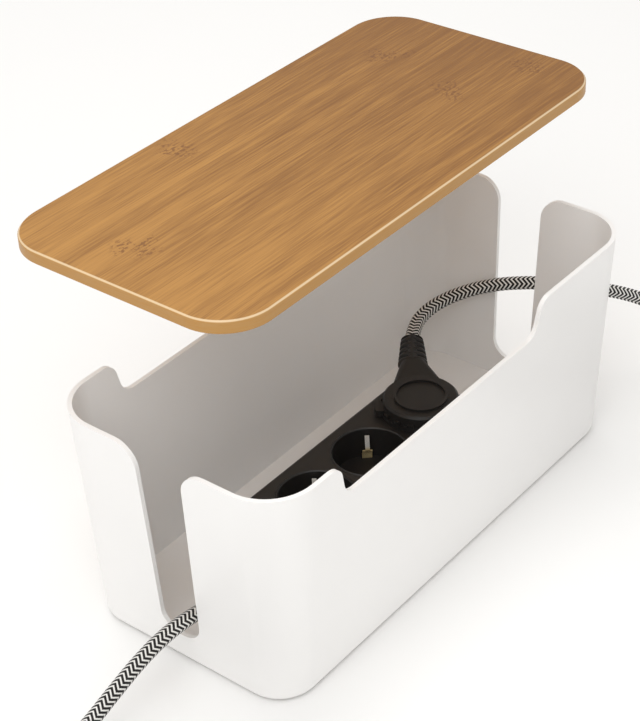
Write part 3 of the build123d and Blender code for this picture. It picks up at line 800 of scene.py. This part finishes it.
@dataclass
class Leads:
    """The two braided leads."""

    finish: bpy.types.Material
    supply_route: list[Point] = field(
        default_factory=lambda: [
            (-112.0, -8.0, 28.5),
            (-124.0, -8.0, 28.5),
            (-142.0, -6.4, 31.8),
            (-160.0, -5.2, 32.0),
            (-178.0, -4.6, 28.4),
            (-196.0, -4.4, 22.4),
            (-214.5, -4.2, 15.6),
            (-233.0, -4.5, 12.4),
            (-251.5, -4.9, 12.4),
            (-267.7, -11.6, 12.4),
            (-280.1, -24.0, 12.4),
            (-286.75, -40.2, 12.4),
            (-286.75, -56.0, 12.4),
        ]
    )
    plug_route: list[Point] = field(
        default_factory=lambda: [
            (86.7, 29.8, 49.6),
            (96.2, 35.5, 50.8),
            (108.0, 36.9, 53.6),
            (119.2, 32.6, 57.4),
            (129.8, 23.4, 61.8),
            (140.2, 10.8, 65.4),
            (149.4, -4.2, 67.4),
            (158.5, -18.6, 67.0),
            (169.0, -31.6, 64.0),
            (182.0, -42.4, 58.6),
            (194.0, -52.4, 51.6),
            (203.4, -62.6, 43.4),
            (209.4, -74.0, 34.4),
            (213.0, -86.0, 25.4),
            (214.9, -97.8, 17.6),
            (215.75, -109.2, 13.7),
            (215.75, -120.3, 12.4),
        ]
    )

    @staticmethod
    def end_run(last: Point) -> list[Point]:
        """The last run of the plugged-in lead, from its coil up to its connector.

        Args:
            last: The end of the coil's stub.

        Returns:
            The run's points.
        """
        out = PLUG_COIL.way_out()
        steps = ((9.0, 4.9), (24.0, 8.0), (33.0, 8.0))
        return [(last[0] + reach * out[0], last[1] + reach * out[1], z) for reach, z in steps]

    def build(self) -> None:
        lead, line = BraidedLead("supply_lead", self.supply_route + SUPPLY_COIL.points()).build()
        lead.data.materials.append(self.finish)
        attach(lead, Body.BOX.value)
        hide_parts("supply_cord", "supply_cord_coil")
        [c * MM for c in self.supply_route[0]]
        LOG.info("supply lead: %d faces", len(lead.data.polygons))
        coil = PLUG_COIL.points()
        route = self.plug_route + coil + self.end_run(coil[-1])
        lead, line = BraidedLead("plug_lead", route, swell=0.12).build()
        lead.data.materials.append(self.finish)
        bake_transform(lead)
        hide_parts("plug_cord", "plug_cord_coil", "plug_cord_end")
        [c * MM for c in self.plug_route[0]]
        LOG.info("plugged-in lead: %d faces", len(lead.data.polygons))


@dataclass
class Relief:
    """An oval strain relief, cut in from both sides into ribs, that tapers onto its lead."""

    name: str
    node: str
    body: Body
    place: Matrix
    length: float = 24.0
    root: tuple[float, float] = (7.0, 4.8)
    tip: tuple[float, float] = (5.2, 4.3)
    core: tuple[float, float] = (3.95, 3.9)
    ribs: int = 5
    spine: tuple[float, float] = (2.7, 1.6)

    def ring(self, height: float, inset: float, depth: float = 0.0) -> Point:
        """One station of the sleeve, in metres.

        Args:
            height: How far it is from the plug.
            inset: How far it is inside the sleeve's outline.
            depth: How far it is cut in, from nought at the outline to one at the core.

        Returns:
            The station's height, half width and half depth.
        """
        share = min(1.0, max(0.0, height / self.length))
        outline = [r + (t - r) * share - inset for r, t in zip(self.root, self.tip)]
        cut = [o + (c - o) * depth for o, c in zip(outline, self.core)]
        return height * MM, cut[0] * MM, cut[1] * MM

    def build(self, finish: bpy.types.Material) -> bpy.types.Object:
        """Model the relief and put it in place of its plain CAD sleeve.

        Args:
            finish: Its material.

        Returns:
            The relief.
        """
        step = self.length / self.ribs
        profile = [self.ring(-1.5, 0.6), self.ring(-1.0, 0.3)]
        for rib in range(self.ribs):
            low = rib * step
            profile += [
                self.ring(low + 0.2, 0.25),
                self.ring(low + 0.5, 0.0),
                self.ring(low + step * 0.50, 0.0),
                self.ring(low + step * 0.56, 0.25),
                self.ring(low + step * 0.60, 0.0, 0.92),
                self.ring(low + step * 0.96, 0.0, 0.92),
            ]
        profile += [self.ring(self.length + 0.2, 0.15), self.ring(self.length + 0.7, 0.5)]
        sleeve = oval(self.name, profile, Matrix.Identity(4))
        smooth(sleeve, 50.0)
        pieces = [sleeve]
        half = self.length / 2
        fall = math.atan2(self.root[1] - self.tip[1], self.length)
        wide, deep = self.spine
        middle = (self.root[1] + self.tip[1]) / 2 - deep + 0.06
        stations = (
            (-half, 0.6),
            (-half + 0.5, 0.95),
            (-half + 1.0, 1.0),
            (half - 1.0, 0.85),
            (half - 0.3, 0.6),
        )
        for side in (-1, 1):
            place = Matrix.Translation((0, side * middle * MM, half * MM))
            place = place @ Matrix.Rotation(side * fall, 4, "X")
            strip = oval("spine", [(h * MM, wide * k * MM, deep * MM) for h, k in stations], place, 24)
            smooth(strip, 50.0)
            pieces.append(strip)
        relief = joined(pieces, self.name)
        settle(relief, self.place)
        relief.data.materials.clear()
        relief.data.materials.append(finish)
        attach(relief, self.body.value)
        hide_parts(self.node)
        LOG.info("%s: %d faces", self.name, len(relief.data.polygons))
        return relief


def along(start: Vector, end: Vector, up: Vector) -> Matrix:
    """A frame at start whose Z runs to end and whose Y is nearest to up."""
    way = (end - start).normalized()
    side = up.cross(way).normalized()
    rows = Matrix((side, way.cross(side), way)).transposed()
    return Matrix.Translation(start) @ rows.to_4x4()


@dataclass
class Reliefs:
    """The strain reliefs of both plugs."""

    finish: bpy.types.Material

    def build(self) -> None:
        """Model the two reliefs."""
        up = Vector((0, 0, 1))
        plug = (Vector((66.87, 14.99, 49.5)) * MM, Vector((86.0, 29.4, 49.5)) * MM)
        relief = Relief("plug_ribbed_relief", "plug_relief", Body.PLUG, along(*plug, up))
        relief.root, relief.tip = (8.3, 4.9), (6.4, 4.5)
        relief.build(self.finish)
        turn = math.radians(SUPPLY_COIL.exit_angle)
        way = Vector((*SUPPLY_COIL.way_out(), 0.0))
        outwards = Vector((math.cos(turn), math.sin(turn), 0.0))
        start = Vector((*SUPPLY_COIL.centre, SUPPLY_COIL.low)) + outwards * SUPPLY_COIL.outer
        tip = (start + way * SUPPLY_COIL.stub) * MM
        root = (start + way * (SUPPLY_COIL.stub + Relief.length)) * MM
        relief = Relief("supply_ribbed_relief", "supply_plug_relief", Body.BOX, along(root, tip, up))
        relief.build(self.finish)


# --- The CAD pieces' finishes ----------------------------------------------------------------


@dataclass
class Finishes:
    """Every slot's material, and how far each CAD piece's edges are rounded."""

    made: dict[str, bpy.types.Material] = field(default_factory=dict)
    rounding: dict[str, float] = field(
        default_factory=lambda: {
            "tub": 0.0007,
            "strip_cover": 0.0004,
            "plug_body": 0.0004,
            "supply_plug_body": 0.0004,
            "connector_body": 0.0005,
            "supply_gland": 0.0003,
            "socket_insert_1": 0.0003,
            "socket_insert_2": 0.0003,
            "socket_insert_3": 0.0003,
            "earth_clip_1": 0.00015,
            "earth_clip_2": 0.00015,
            "earth_clip_3": 0.00015,
            "plug_cord_tie": 0.0003,
            "supply_cord_tie": 0.0003,
        }
    )

    def build(self) -> None:
        """Make every slot's material."""
        low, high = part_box("lid_board")
        centre = tuple((low + high) / 2)
        half = tuple((high - low) / 2)
        self.made = {
            "tub_plastic": Moulded(
                "tub_plastic", (0.93, 0.92, 0.908), 0.36, 2200.0, 0.04, uneven=0.004
            ).build(),
            "clear_rubber": Moulded("clear_rubber", (0.62, 0.62, 0.60), 0.5).build(),
            "bamboo": Bamboo(centre, half).build(),
            "black_plastic": Moulded(
                "black_plastic", (0.017, 0.0155, 0.0145), 0.46, 1500.0, 0.25, 0.45
            ).build(),
            "black_rubber": Moulded("black_rubber", (0.014, 0.0128, 0.012), 0.5, 1300.0, 0.25, 0.42).build(),
            "hard_plastic": Moulded("hard_plastic", (0.03, 0.03, 0.032), 0.4).build(),
            # The golden colour given for the clip roots is a painted reflection.
            "plated_metal": Metal(
                "plated_metal", (0.97, 0.95, 0.9), 0.3, metallic=0.35, painted_reflection_colour=(0.75, 0.6, 0.32)
            ).build(),
            "brass_bar": Metal("brass_bar", (0.72, 0.53, 0.25), 0.32).build(),
            "steel_screws": Metal("steel_screws", (0.62, 0.61, 0.60), 0.3).build(),
            "wire_brown": Moulded("wire_brown", (0.10, 0.035, 0.015), 0.4).build(),
            "wire_blue": Moulded("wire_blue", (0.02, 0.08, 0.35), 0.4).build(),
            "wire_green": Moulded("wire_green", (0.16, 0.33, 0.03), 0.4).build(),
            "tie_black": Tape().build(),
            "braid": Braid().build(),
        }
        LOG.info("finishes: %d", len(self.made))

    def dress(self) -> None:
        """Give every CAD piece its slot's material and soften its edges."""
        for part in frame["record"]["subparts"]:
            node = frame["nodes"][part["node"]]
            node.data.materials.clear()
            node.data.materials.append(self.made[part["material_slot"]])
            if part["node"] in self.rounding:
                soften(node, self.rounding[part["node"]])
        LOG.info("dressed %d pieces", len(frame["nodes"]))


def main() -> None:
    """Build the scene in order."""
    logging.basicConfig(level=logging.INFO, format="%(name)s %(message)s")
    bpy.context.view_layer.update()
    Studio().build()
    finishes = Finishes()
    finishes.build()
    Reliefs(finishes.made["black_rubber"]).build()
    Leads(finishes.made["braid"]).build()
    finishes.dress()


if __name__ == "__main__":
    main()
